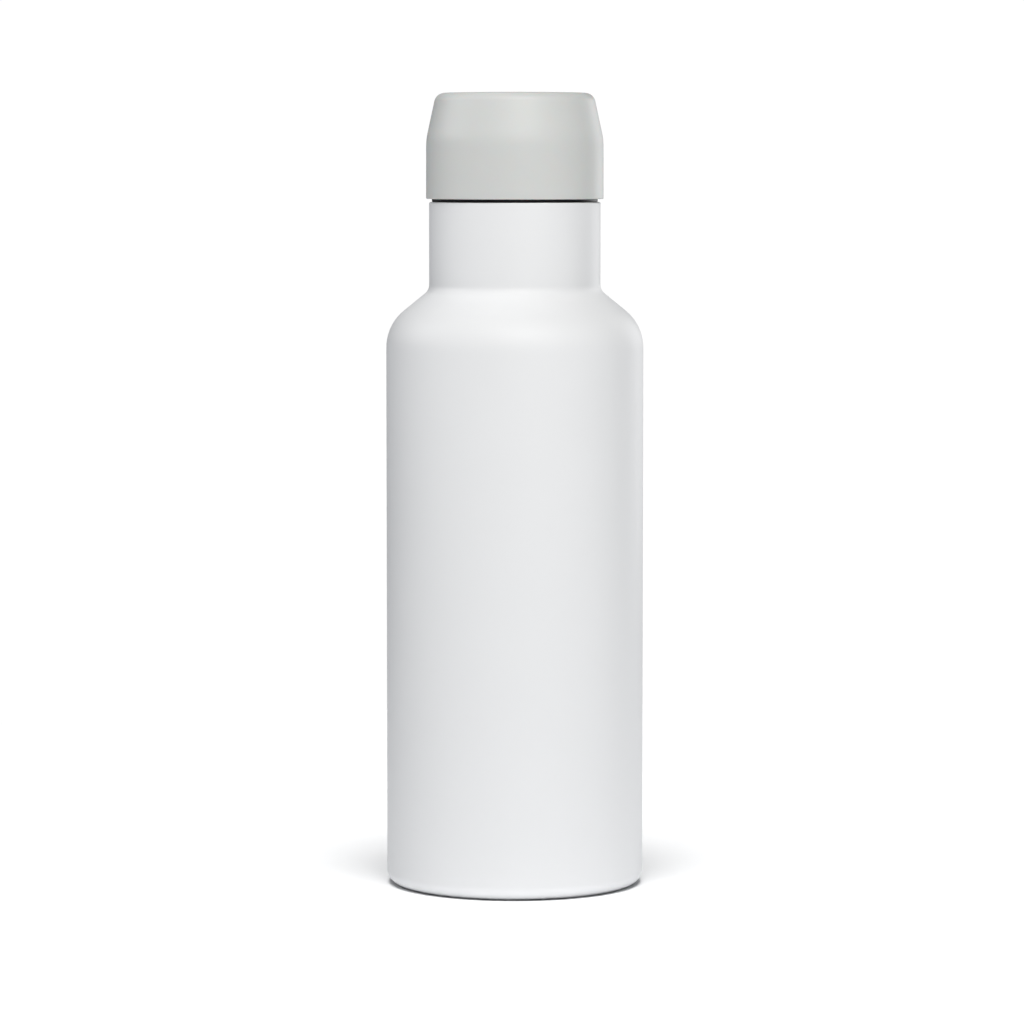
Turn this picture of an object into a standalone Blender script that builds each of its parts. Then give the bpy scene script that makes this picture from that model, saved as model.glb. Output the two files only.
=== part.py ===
"""Insulated water bottle: a double-walled vacuum flask with a screw-in insulated cap.

Units are metres and +Z is up. The origin is the centre of the ring that the bottle stands on.
Every wall is turned about the Z axis from an outline of (radius, height) points.
The cap hangs on two empties: cap_lift carries what only rises, and cap_turn what also turns.
"""
import math

import bmesh
import bpy

# ---- Driving dimensions -------------------------------------------------------------------
BODY_RADIUS = 0.0365            # outside of the bottle
SHELL_WALL = 0.0006             # outer shell sheet
LINER_RADIUS = 0.0334           # outside of the inner flask
LINER_WALL = 0.0005             # inner flask sheet
CLEARANCE = 0.0003              # air left between two separate pieces

BASE_CORNER_RADIUS = 0.0038     # bend between the wall and the standing ring
BASE_RING_INNER = 0.0314        # the shell's sheet stops here, under the base
SHOULDER_START = 0.153          # the straight wall ends here
SHOULDER_RADIUS = 0.0135        # convex bend at the top of the wall
SHOULDER_TURN = 51.0            # degrees that the bend turns before the cone
NECK_RADIUS = 0.0243            # outside of the neck
NECK_BEND = 0.0033              # concave bend between cone and neck
NECK_TOP = 0.1942               # mouth rim

LINER_NECK_RADIUS = 0.0224      # outside of the inner flask's neck
MOUTH_FLARE = (0.1912, 0.1928)  # the inner flask's neck widens to the rim between these heights
LINER_FLOOR = 0.008             # underside of the inner flask
LINER_FLOOR_BEND = 0.006        # corner of the inner flask's floor
LINER_SEAM = 0.0163             # where the floor cup is welded to the liner

PAN_TOP = 0.0031                # base pan, closing the vacuum space
PAN_SHEET = 0.0005
SEAL_HOLE = 0.0015              # hole the air is drawn out through
COVER_BOTTOM = 0.0009           # disc over the seal bead
COVER_SHEET = 0.0005
FOIL_SHEET = 0.00015
FOIL_BOTTOM = 0.018
FOIL_TOP = 0.150
GETTER_X = 0.016                # off-centre place of the getter
GETTER_RADIUS = 0.004
GETTER_CUP_DEPTH = 0.0036
GETTER_CUP_SHEET = 0.0003
GETTER_CUP_BRIM = 0.002         # flange that is spot-welded to the inner flask
BEAD_RADIUS = 0.0025

THREAD_STARTS = 2
THREAD_PITCH = 0.004            # ridge to ridge
THREAD_DEPTH = 0.001            # root to crest
THREAD_GAP = 0.00045            # radial play between the two threads
THREAD_ROWS = 6                 # rows of points for each pitch
NECK_THREAD = (0.174, 0.190)    # lowest and highest point of the neck's thread
PLUG_THREAD = (0.1762, 0.1882)  # the same for the plug's thread, screwed down
THREAD_FADE = 0.002             # each thread grows to full depth over this height

CAP_RADIUS = 0.02515            # skirt of the cap
CAP_BOTTOM = 0.1951             # lower edge of the skirt
CAP_KNEE = 0.2121               # the skirt ends and the crown begins
CAP_TOP = 0.225
CROWN_FOOT = (0.02472, 0.2136)
CROWN_CORNER = 0.003            # rounding at the top edge
CROWN_FLAT = 0.0199             # radius of the flat top
CROWN_TILT = (9.5, 14.5)        # degrees that the crown's side leans in, low and high
CAP_SEAT = 0.1986               # step inside the skirt that the plug's flange meets
CAP_WALL = 0.0019
CAP_LIP = 0.0005                # small bevel round the skirt's lower edge
SKIRT_INNER = 0.0238            # inside of the skirt, below the step

PLUG_RADIUS = LINER_NECK_RADIUS - LINER_WALL - THREAD_GAP - THREAD_DEPTH   # at the thread's root
PLUG_BOTTOM = 0.1725
PLUG_WALL = 0.0018
PLUG_EDGE = 0.0008              # bevel round the foot of the plug
FLANGE = (0.1965, 0.1983)       # under and upper face of the plug's flange
GASKET_RADIUS = 0.0235
GASKET = (0.1945, 0.1962)       # lower and upper face
GASKET_EDGE = 0.0003

SEGMENTS = 36                   # sides of a turned piece
SMALL_SEGMENTS = 16


# ---- Outlines -----------------------------------------------------------------------------
def arc(centre, radius, start, end, steps):
    """Points on an arc about centre, from start to end degrees."""
    points = []
    for i in range(steps + 1):
        angle = math.radians(start + (end - start) * i / steps)
        points.append((centre[0] + radius * math.cos(angle), centre[1] + radius * math.sin(angle)))
    return points


def shoulder(wall_radius, bend_radius, neck_radius, neck_bend, steps):
    """From the straight wall over the convex bend, down the cone's line and up into the neck."""
    centre = (wall_radius - bend_radius, SHOULDER_START)
    bend = arc(centre, bend_radius, 0.0, SHOULDER_TURN, steps)
    turn = math.radians(SHOULDER_TURN)
    neck_centre = neck_radius + neck_bend
    foot = neck_centre - neck_bend * math.cos(turn)
    cone_length = (bend[-1][0] - foot) / math.sin(turn)
    foot_height = bend[-1][1] + cone_length * math.cos(turn)
    neck_height = foot_height + neck_bend * math.sin(turn)
    fillet = arc((neck_centre, neck_height), neck_bend, 180.0 + SHOULDER_TURN, 180.0, steps - 1)
    return bend + fillet


def thread_depth(angle, height, zone, direction):
    """Height of the thread's ridge, from 0 to THREAD_DEPTH; outer ridges fill inner grooves."""
    low, high = zone
    rise = min(height - low, high - height) / THREAD_FADE
    fade = max(0.0, min(1.0, rise))
    phase = 2 * math.pi * height / THREAD_PITCH - THREAD_STARTS * angle
    return THREAD_DEPTH * fade * (1 + direction * math.cos(phase)) / 2


def thread_rows(zone):
    """Heights of the rows of points over a threaded zone, from low to high."""
    low, high = zone
    count = round((high - low) / THREAD_PITCH * THREAD_ROWS)
    return [low + (high - low) * i / count for i in range(count + 1)]


# ---- Building -----------------------------------------------------------------------------
def material(name, colour, roughness, metallic):
    """A Principled material of one colour."""
    result = bpy.data.materials.new(name)
    result.use_nodes = True
    shader = result.node_tree.nodes["Principled BSDF"]
    shader.inputs["Base Color"].default_value = (*colour, 1.0)
    shader.inputs["Roughness"].default_value = roughness
    shader.inputs["Metallic"].default_value = metallic
    return result


def turned(name, outline, finish, segments=SEGMENTS, shift=None):
    """Spin a closed outline about Z; shift(point) may then move each point in or out."""
    bm = bmesh.new()
    ring = [bm.verts.new((radius, 0.0, height)) for radius, height in outline]
    edges = []
    for start, end in zip(ring, ring[1:] + ring[:1]):
        if start.co.x > 0.0 or end.co.x > 0.0:
            edges.append(bm.edges.new((start, end)))
    bmesh.ops.spin(bm, geom=ring + edges, cent=(0, 0, 0), axis=(0, 0, 1),
                   angle=2 * math.pi, steps=segments, use_merge=True)
    bmesh.ops.remove_doubles(bm, verts=bm.verts, dist=0.000001)
    if shift:
        for vertex in bm.verts:
            shift(vertex)
    bmesh.ops.recalc_face_normals(bm, faces=bm.faces)
    mesh = bpy.data.meshes.new(name)
    bm.to_mesh(mesh)
    bm.free()
    mesh.shade_smooth()
    mesh.set_sharp_from_angle(angle=math.radians(35))
    mesh.materials.append(finish)
    piece = bpy.data.objects.new(name, mesh)
    bpy.context.collection.objects.link(piece)
    return piece


def ridge(zone, radius, direction):
    """A shift for turned(): a helical ridge on the cylinder of this radius, out (1) or in (-1)."""
    def shift(vertex):
        on_cylinder = abs(vertex.co.xy.length - radius) < 0.00001
        if on_cylinder and zone[0] < vertex.co.z < zone[1]:
            angle = math.atan2(vertex.co.y, vertex.co.x)
            depth = thread_depth(angle, vertex.co.z, zone, direction)
            vertex.co.xy *= (radius + direction * depth) / radius
    return shift


def empty(name, parent=None):
    """An empty on the bottle's axis, which moving pieces hang on."""
    result = bpy.data.objects.new(name, None)
    result.parent = parent
    bpy.context.collection.objects.link(result)
    return result


# ---- Bottle body --------------------------------------------------------------------------
def outer_shell(finish):
    """Powder-coated outer tube: standing ring, wall, shoulder and neck in one drawn sheet."""
    corner = (BODY_RADIUS - BASE_CORNER_RADIUS, BASE_CORNER_RADIUS)
    outside = [(BASE_RING_INNER, 0.0)]
    outside += arc(corner, BASE_CORNER_RADIUS, -90.0, 0.0, 4)
    outside += shoulder(BODY_RADIUS, SHOULDER_RADIUS, NECK_RADIUS, NECK_BEND, 5)
    outside += [(NECK_RADIUS, NECK_TOP - SHELL_WALL / 2), (NECK_RADIUS - SHELL_WALL / 2, NECK_TOP)]
    inside = [(BASE_RING_INNER, SHELL_WALL)]
    inside += arc(corner, BASE_CORNER_RADIUS - SHELL_WALL, -90.0, 0.0, 3)
    inside += shoulder(BODY_RADIUS - SHELL_WALL, SHOULDER_RADIUS - SHELL_WALL,
                       NECK_RADIUS - SHELL_WALL, NECK_BEND + SHELL_WALL, 5)
    inside += [(NECK_RADIUS - SHELL_WALL, NECK_TOP)]
    return turned("outer_shell", outside + inside[::-1], finish)


def base_pan(finish):
    """Pressed dish welded inside the standing ring, with the evacuation hole at its centre."""
    edge = BASE_RING_INNER - CLEARANCE
    bottom = PAN_TOP - PAN_SHEET
    outline = [
        (SEAL_HOLE, PAN_TOP),
        (SEAL_HOLE, bottom),
        (edge - 2 * PAN_SHEET, bottom),
        (edge - PAN_SHEET, bottom - PAN_SHEET),
        (edge - PAN_SHEET, CLEARANCE),
        (edge, CLEARANCE),
        (edge, bottom - PAN_SHEET / 2),
        (edge - PAN_SHEET, PAN_TOP),
    ]
    return turned("base_pan", outline, finish)


def seal_bead(finish):
    """Solder bead that closes the evacuation hole once the air is out."""
    stem = SEAL_HOLE - CLEARANCE
    head_top = PAN_TOP - PAN_SHEET - CLEARANCE
    head_bottom = COVER_BOTTOM + COVER_SHEET + CLEARANCE
    outline = [
        (0.0, head_bottom),
        (BEAD_RADIUS - head_top + head_bottom, head_bottom),
        (BEAD_RADIUS, head_top),
        (stem, head_top),
        (stem, PAN_TOP),
        (0.0, PAN_TOP + CLEARANCE),
    ]
    return turned("seal_bead", outline, finish, SMALL_SEGMENTS)


def base_cover(finish):
    """Thin disc bonded into the base, over the seal bead."""
    edge = BASE_RING_INNER - PAN_SHEET - 3 * CLEARANCE
    top = COVER_BOTTOM + COVER_SHEET
    outline = [(0.0, COVER_BOTTOM), (edge, COVER_BOTTOM), (edge, top), (0.0, top)]
    return turned("base_cover", outline, finish)


def liner_body(finish):
    """Inner flask: wall, shoulder and neck with the rolled thread, flared out to the mouth rim."""
    bend = SHOULDER_RADIUS - (BODY_RADIUS - LINER_RADIUS)
    neck_bend = NECK_BEND + NECK_RADIUS - LINER_NECK_RADIUS
    flare = NECK_RADIUS - SHELL_WALL - CLEARANCE
    bore = LINER_NECK_RADIUS - LINER_WALL
    outside = [(LINER_RADIUS, LINER_SEAM)]
    outside += shoulder(LINER_RADIUS, bend, LINER_NECK_RADIUS, neck_bend, 4)
    low, high = MOUTH_FLARE
    outside += [(LINER_NECK_RADIUS, low), (flare, high), (flare, NECK_TOP)]
    inside = [(LINER_RADIUS - LINER_WALL, LINER_SEAM)]
    inside += shoulder(LINER_RADIUS - LINER_WALL, bend - LINER_WALL, bore, neck_bend + LINER_WALL, 4)
    inside += [(bore, height) for height in thread_rows(NECK_THREAD)]
    mouth = flare - LINER_WALL
    inside += [(bore, low + LINER_WALL / 2), (mouth, high + LINER_WALL / 2), (mouth, NECK_TOP)]
    return turned("liner_body", outside + inside[::-1], finish, shift=ridge(NECK_THREAD, bore, -1))


def liner_bottom(finish):
    """Pressed cup that closes the foot of the inner flask."""
    centre = (LINER_RADIUS - LINER_FLOOR_BEND, LINER_FLOOR + LINER_FLOOR_BEND)
    edge = LINER_SEAM - CLEARANCE
    outside = [(0.0, LINER_FLOOR)]
    outside += arc(centre, LINER_FLOOR_BEND, -90.0, 0.0, 3) + [(LINER_RADIUS, edge)]
    inside = [(0.0, LINER_FLOOR + LINER_WALL)]
    inside += arc(centre, LINER_FLOOR_BEND - LINER_WALL, -90.0, 0.0, 3)
    inside += [(LINER_RADIUS - LINER_WALL, edge)]
    return turned("liner_bottom", outside + inside[::-1], finish)


def copper_foil(finish):
    """Foil wrapped round the inner flask, which turns back radiant heat."""
    inner = LINER_RADIUS + CLEARANCE
    outer = inner + FOIL_SHEET
    outline = [(inner, FOIL_BOTTOM), (outer, FOIL_BOTTOM), (outer, FOIL_TOP), (inner, FOIL_TOP)]
    return turned("copper_foil", outline, finish)


def getter_cup(finish):
    """Small cup spot-welded under the inner flask, which holds the getter."""
    inner = GETTER_RADIUS + CLEARANCE
    outer = inner + GETTER_CUP_SHEET
    top = LINER_FLOOR - CLEARANCE
    floor = top - GETTER_CUP_DEPTH
    outline = [
        (0.0, floor),
        (outer, floor),
        (outer, top - GETTER_CUP_SHEET),
        (outer + GETTER_CUP_BRIM, top - GETTER_CUP_SHEET),
        (outer + GETTER_CUP_BRIM, top),
        (inner, top),
        (inner, floor + GETTER_CUP_SHEET),
        (0.0, floor + GETTER_CUP_SHEET),
    ]
    cup = turned("getter_cup", outline, finish, SMALL_SEGMENTS)
    cup.location.x = GETTER_X
    return cup


def getter_pellet(finish):
    """Pressed tablet that soaks up the last gas in the vacuum space."""
    top = LINER_FLOOR - 2 * CLEARANCE
    floor = LINER_FLOOR - GETTER_CUP_DEPTH + GETTER_CUP_SHEET
    outline = [(0.0, floor), (GETTER_RADIUS, floor), (GETTER_RADIUS, top), (0.0, top)]
    pellet = turned("getter_pellet", outline, finish, SMALL_SEGMENTS)
    pellet.location.x = GETTER_X
    return pellet


# ---- Cap ----------------------------------------------------------------------------------
def crown(inset, steps):
    """The cap's leaning side and rounded top edge, from the crown's foot up, moved in by inset."""
    corner = (CROWN_FLAT, CAP_TOP - CROWN_CORNER)
    side_end = arc(corner, CROWN_CORNER, CROWN_TILT[1], 90.0, 1)[0]
    height = side_end[1] - CROWN_FOOT[1]
    points = []
    for i in range(steps):
        share = i / steps
        lean = math.radians(CROWN_TILT[0] + (CROWN_TILT[1] - CROWN_TILT[0]) * share / 2)
        radius = CROWN_FOOT[0] - height * share * math.tan(lean)
        points.append((radius - inset, CROWN_FOOT[1] + (height - inset / 2) * share))
    rounding = max(CROWN_CORNER - inset, 0.001)
    centre = (CROWN_FLAT - max(inset - CROWN_CORNER + rounding, 0.0), CAP_TOP - inset - rounding)
    return points + arc(centre, rounding, CROWN_TILT[1], 90.0, 3)


def cap_shell(finish):
    """Moulded outer cap: straight skirt, soft knee and leaning crown."""
    inner = CAP_RADIUS - CAP_WALL
    outside = [(SKIRT_INNER, CAP_BOTTOM), (CAP_RADIUS - CAP_LIP, CAP_BOTTOM)]
    outside += [(CAP_RADIUS, CAP_BOTTOM + CAP_LIP), (CAP_RADIUS, CAP_KNEE)]
    outside += crown(0.0, 3) + [(0.0, CAP_TOP)]
    inside = [(SKIRT_INNER, CAP_SEAT), (inner, CAP_SEAT), (inner, CAP_KNEE)]
    inside += crown(CAP_WALL, 2) + [(0.0, CAP_TOP - CAP_WALL)]
    return turned("cap_shell", outside + inside[::-1], finish)


def plug_body(finish):
    """Threaded sleeve that screws into the neck, with the flange that carries the cap."""
    root = PLUG_RADIUS
    inner = root - PLUG_WALL
    rim = SKIRT_INNER - CLEARANCE
    outline = [(inner, PLUG_BOTTOM), (root - PLUG_EDGE, PLUG_BOTTOM), (root, PLUG_BOTTOM + PLUG_EDGE)]
    outline += [(root, height) for height in thread_rows(PLUG_THREAD)]
    outline += [(root, FLANGE[0]), (rim, FLANGE[0]), (rim, FLANGE[1]), (inner, FLANGE[1])]
    return turned("plug_body", outline, finish, shift=ridge(PLUG_THREAD, root, 1))


def plug_floor(finish):
    """Disc welded into the foot of the plug, which keeps drink out of the foam."""
    edge = PLUG_RADIUS - PLUG_WALL - CLEARANCE
    top = PLUG_BOTTOM + PLUG_WALL
    outline = [(0.0, PLUG_BOTTOM), (edge, PLUG_BOTTOM), (edge, top), (0.0, top)]
    return turned("plug_floor", outline, finish)


def plug_foam(finish):
    """Foam block inside the plug."""
    edge = PLUG_RADIUS - PLUG_WALL - CLEARANCE
    bottom = PLUG_BOTTOM + PLUG_WALL + CLEARANCE
    outline = [(0.0, bottom), (edge, bottom), (edge, FLANGE[1]), (0.0, FLANGE[1])]
    return turned("plug_foam", outline, finish)


def crown_foam(finish):
    """Foam block inside the crown of the cap, which rests on the plug's flange."""
    inset = CAP_WALL + CLEARANCE
    outline = [(0.0, CAP_SEAT), (CAP_RADIUS - inset, CAP_SEAT), (CAP_RADIUS - inset, CAP_KNEE)]
    outline += crown(inset, 2) + [(0.0, CAP_TOP - inset)]
    return turned("crown_foam", outline, finish)


def rim_gasket(finish):
    """Silicone ring under the flange, which seals on the mouth rim and shows as a dark line."""
    inner = PLUG_RADIUS + CLEARANCE
    low, high = GASKET
    outline = [
        (inner, low),
        (GASKET_RADIUS - GASKET_EDGE, low),
        (GASKET_RADIUS, low + GASKET_EDGE),
        (GASKET_RADIUS, high - GASKET_EDGE),
        (GASKET_RADIUS - GASKET_EDGE, high),
        (inner, high),
    ]
    return turned("rim_gasket", outline, finish)


# ---- Assembly -----------------------------------------------------------------------------
for old in list(bpy.data.objects):
    bpy.data.objects.remove(old)

powder_coat = material("white_powder_coat", (0.84, 0.84, 0.85), 0.55, 0.0)
steel = material("stainless_steel", (0.62, 0.61, 0.60), 0.28, 1.0)
copper = material("copper_foil", (0.80, 0.42, 0.27), 0.25, 1.0)
getter = material("getter_tablet", (0.16, 0.16, 0.17), 0.7, 0.6)
solder = material("solder_glass", (0.20, 0.22, 0.20), 0.2, 0.0)
cap_plastic = material("grey_polypropylene", (0.70, 0.70, 0.69), 0.5, 0.0)
plug_plastic = material("pale_polypropylene", (0.62, 0.62, 0.61), 0.42, 0.0)
silicone = material("dark_silicone", (0.035, 0.035, 0.037), 0.6, 0.0)
foam = material("insulating_foam", (0.80, 0.79, 0.76), 0.9, 0.0)

cap_lift = empty("cap_lift")
cap_turn = empty("cap_turn", cap_lift)

outer_shell(powder_coat)
base_pan(steel)
seal_bead(solder)
base_cover(powder_coat)
liner_body(steel)
liner_bottom(steel)
copper_foil(copper)
getter_cup(steel)
getter_pellet(getter)

rim_gasket(silicone).parent = cap_lift
for cap_piece in (
    cap_shell(cap_plastic),
    plug_body(plug_plastic),
    plug_floor(plug_plastic),
    plug_foam(foam),
    crown_foam(foam),
):
    cap_piece.parent = cap_turn
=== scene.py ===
import math

import bmesh
import bpy
from mathutils import Matrix, Vector, noise


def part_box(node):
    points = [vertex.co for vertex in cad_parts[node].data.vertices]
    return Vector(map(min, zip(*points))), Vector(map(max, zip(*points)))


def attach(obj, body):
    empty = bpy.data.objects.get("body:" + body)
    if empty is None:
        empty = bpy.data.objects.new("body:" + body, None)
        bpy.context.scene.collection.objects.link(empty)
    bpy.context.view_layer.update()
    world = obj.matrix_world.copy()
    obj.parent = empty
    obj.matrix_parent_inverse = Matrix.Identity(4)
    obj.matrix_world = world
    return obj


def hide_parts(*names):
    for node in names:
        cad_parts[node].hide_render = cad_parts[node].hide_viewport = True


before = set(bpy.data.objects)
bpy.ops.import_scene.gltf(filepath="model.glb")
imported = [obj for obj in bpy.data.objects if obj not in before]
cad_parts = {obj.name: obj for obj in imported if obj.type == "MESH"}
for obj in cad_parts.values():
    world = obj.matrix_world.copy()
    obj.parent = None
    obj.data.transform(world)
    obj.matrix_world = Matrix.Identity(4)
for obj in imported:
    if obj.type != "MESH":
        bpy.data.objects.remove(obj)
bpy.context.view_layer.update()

# ------------------------------------------------------------------------------------------
# OUTER SHELL
# The bottle that the hand holds: 0.6 mm stainless sheet, drawn, necked in over a round
# shoulder and rolled under to a standing ring. Sprayed with matte white powder and baked.
# ------------------------------------------------------------------------------------------
_, shell_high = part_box("outer_shell")
body_radius = shell_high.x
neck_top = shell_high.z
shell_wall = 0.0006
foot_bend = 0.0038
foot_inner = 0.0314
shoulder_bend = 0.0135
shoulder_start = 0.153
shoulder_turn = math.radians(51)
neck_radius = 0.0243
neck_bend = 0.0033
rim_bend = 0.00045
rim_start = neck_top - 0.001


def linear(code):
    """An sRGB colour such as "ffeedd" as the linear colour that the nodes take."""
    channels = []
    for start in (0, 2, 4):
        value = int(code[start:start + 2], 16) / 255
        channels.append(value / 12.92 if value <= 0.04045 else ((value + 0.055) / 1.055) ** 2.4)
    return (*channels, 1.0)


def add(tree, kind, inputs=None, **settings):
    """Add a node: its settings by name, and its inputs as values or as sockets to link."""
    node = tree.nodes.new(kind)
    for name, value in settings.items():
        setattr(node, name, value)
    for name, value in (inputs or {}).items():
        if isinstance(value, bpy.types.NodeSocket):
            tree.links.new(value, node.inputs[name])
        else:
            node.inputs[name].default_value = value
    return node


def surface(name, **constants):
    """A new material, its node tree and its shader, with the shader's own sockets set."""
    made = bpy.data.materials.new(name)
    made.use_nodes = True
    shader = made.node_tree.nodes["Principled BSDF"]
    for socket, value in constants.items():
        shader.inputs[socket.replace("_", " ")].default_value = value
    return made, made.node_tree, shader


def rounded(corners, bend=math.radians(5), guard=0.0004):
    """An open path through corners (radius, height, fillet), with each fillet as an arc.

    Each arc has a point just before and after it, so that long straight runs shade flat."""
    path = []
    for i, (x, z, fillet) in enumerate(corners):
        here = Vector((x, z))
        if fillet == 0.0:
            path.append(here)
            continue
        back = (Vector(corners[i - 1][:2]) - here).normalized()
        ahead = (Vector(corners[(i + 1) % len(corners)][:2]) - here).normalized()
        half = back.angle(ahead) / 2
        reach = fillet / math.tan(half)
        centre = here + (back + ahead).normalized() * fillet / math.sin(half)
        spoke = here + back * reach - centre
        last = here + ahead * reach - centre
        sweep = math.copysign(spoke.angle(last), spoke.x * last.y - spoke.y * last.x)
        steps = max(4, round(abs(sweep) / bend))
        margin = min(guard, fillet / 2)
        path.append(here + back * (reach + margin))
        for step in range(steps + 1):
            path.append(centre + Matrix.Rotation(sweep * step / steps, 2) @ spoke)
        path.append(here + ahead * (reach + margin))
    return path


def inset(path, distance):
    """The path moved to its left by distance, which makes the other face of a sheet."""
    moved = []
    for i, here in enumerate(path):
        along = path[min(i + 1, len(path) - 1)] - path[max(i - 1, 0)]
        moved.append(here + Vector((-along.y, along.x)).normalized() * distance)
    return moved


def turned(name, stretches, segments=240):
    """Turn an outline about the bottle's axis. Each stretch of it is (path, material)."""
    points = []
    slots = []
    for slot, (path, _) in enumerate(stretches):
        points += path
        slots += [slot] * len(path)
    bm = bmesh.new()
    rings = []
    for radius, height in points:
        if radius < 0.00001:
            rings.append([bm.verts.new((0.0, 0.0, height))] * segments)
            continue
        ring = []
        for k in range(segments):
            angle = 2 * math.pi * k / segments
            ring.append(bm.verts.new((radius * math.cos(angle), radius * math.sin(angle), height)))
        rings.append(ring)
    for i, slot in enumerate(slots):
        ring, following = rings[i], rings[(i + 1) % len(rings)]
        for k in range(segments):
            beside = (k + 1) % segments
            corners = dict.fromkeys((ring[k], ring[beside], following[beside], following[k]))
            if len(corners) > 2:
                face = bm.faces.new(list(corners))
                face.material_index = slot
    bmesh.ops.recalc_face_normals(bm, faces=bm.faces)
    mesh = bpy.data.meshes.new(name)
    bm.to_mesh(mesh)
    bm.free()
    mesh.shade_smooth()
    mesh.set_sharp_from_angle(angle=math.radians(40))
    for _, made in stretches:
        mesh.materials.append(made)
    piece = bpy.data.objects.new(name, mesh)
    bpy.context.collection.objects.link(piece)
    return piece


# Polyester powder coat, sprayed on the steel and baked. It flows out to a very slight orange
# peel, and its matting agent leaves a fine grain, so highlights are broad and never sharp.
# The grain is 0.2 mm across and the peel 1.1 mm.
powder_coat, tree, shader = surface("powder_coat", Metallic=0.0, IOR=1.5)
place = add(tree, "ShaderNodeTexCoord").outputs["Object"]
peel = add(tree, "ShaderNodeTexNoise", {"Vector": place, "Scale": 900.0, "Detail": 2.0})
grain = add(tree, "ShaderNodeTexNoise", {"Vector": place, "Scale": 5000.0, "Detail": 2.0})
cloud = add(tree, "ShaderNodeTexNoise", {"Vector": place, "Scale": 45.0, "Detail": 2.0})
white = add(tree, "ShaderNodeMix", {
    0: cloud.outputs["Fac"], 6: linear("e7e8ea"), 7: linear("e9eaec")}, data_type="RGBA")
# Where the ring stands, the coat is rubbed grey in patches.
level = add(tree, "ShaderNodeSeparateXYZ", {"Vector": place}).outputs["Z"]
near_ground = add(tree, "ShaderNodeMapRange", {
    "Value": level, "From Min": 0.0, "From Max": 0.0003, "To Min": 1.0, "To Max": 0.0})
patches = add(tree, "ShaderNodeTexNoise", {"Vector": place, "Scale": 600.0, "Detail": 4.0})
worn = add(tree, "ShaderNodeMapRange", {
    "Value": patches.outputs["Fac"], "From Min": 0.5, "From Max": 0.62, "To Max": 0.6})
rub = add(tree, "ShaderNodeMath", {
    0: near_ground.outputs["Result"], 1: worn.outputs["Result"]}, operation="MULTIPLY")
coat = add(tree, "ShaderNodeMix", {
    0: rub.outputs[0], 6: white.outputs[2], 7: linear("9a9a9b")}, data_type="RGBA")
tree.links.new(coat.outputs[2], shader.inputs["Base Color"])
dullness = add(tree, "ShaderNodeMapRange", {
    "Value": cloud.outputs["Fac"], "To Min": 0.5, "To Max": 0.58})
tree.links.new(dullness.outputs["Result"], shader.inputs["Roughness"])
peel_bump = add(tree, "ShaderNodeBump", {
    "Height": peel.outputs["Fac"], "Strength": 0.12, "Distance": 0.00003})
grain_bump = add(tree, "ShaderNodeBump", {
    "Height": grain.outputs["Fac"], "Normal": peel_bump.outputs["Normal"],
    "Strength": 0.25, "Distance": 0.00001})
tree.links.new(grain_bump.outputs["Normal"], shader.inputs["Normal"])

# Stainless steel sheet, 18/8, spun and drawn, then electropolished: a soft mirror with faint
# rings round the axis left by the drawing, 0.3 mm apart, and a slightly warm grey.
stainless, tree, shader = surface("electropolished_stainless", Metallic=1.0)
place = add(tree, "ShaderNodeTexCoord").outputs["Object"]
axes = add(tree, "ShaderNodeSeparateXYZ", {"Vector": place})
across = add(tree, "ShaderNodeMath", {
    0: axes.outputs["X"], 1: axes.outputs["X"]}, operation="MULTIPLY")
radius_squared = add(tree, "ShaderNodeMath", {
    0: axes.outputs["Y"], 1: axes.outputs["Y"], 2: across.outputs[0]}, operation="MULTIPLY_ADD")
distance = add(tree, "ShaderNodeMath", {0: radius_squared.outputs[0]}, operation="SQRT")
ringed = add(tree, "ShaderNodeCombineXYZ", {"X": distance.outputs[0], "Z": axes.outputs["Z"]})
rings = add(tree, "ShaderNodeTexNoise", {
    "Vector": ringed.outputs["Vector"], "Scale": 3300.0, "Detail": 3.0})
stains = add(tree, "ShaderNodeTexNoise", {"Vector": place, "Scale": 120.0, "Detail": 3.0})
tint = add(tree, "ShaderNodeMix", {
    0: stains.outputs["Fac"], 6: linear("c9c6c2"), 7: linear("d2cfcb")}, data_type="RGBA")
tree.links.new(tint.outputs[2], shader.inputs["Base Color"])
gloss = add(tree, "ShaderNodeMapRange", {
    "Value": rings.outputs["Fac"], "To Min": 0.2, "To Max": 0.36})
tree.links.new(gloss.outputs["Result"], shader.inputs["Roughness"])
ring_bump = add(tree, "ShaderNodeBump", {
    "Height": rings.outputs["Fac"], "Strength": 0.2, "Distance": 0.00001})
tree.links.new(ring_bump.outputs["Normal"], shader.inputs["Normal"])

shoulder_corner = shoulder_start + shoulder_bend * math.tan(shoulder_turn / 2)
neck_corner = shoulder_corner + (body_radius - neck_radius) / math.tan(shoulder_turn)
shell_outside = rounded([
    (foot_inner, 0.0, 0.0),
    (body_radius, 0.0, foot_bend),
    (body_radius, shoulder_corner, shoulder_bend),
    (neck_radius, neck_corner, neck_bend),
    (neck_radius, rim_start, 0.0),
])
shell_rim = rounded([
    (neck_radius, rim_start + 0.0001, 0.0),
    (neck_radius, neck_top, rim_bend),
    (neck_radius - shell_wall, neck_top, 0.0),
])
shell_inside = inset(shell_outside, shell_wall)[::-1]
bottle_shell = turned("bottle_shell", [
    (shell_outside + shell_rim, powder_coat),
    (shell_inside, stainless),
])
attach(bottle_shell, "bottle")
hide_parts("outer_shell")

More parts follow.
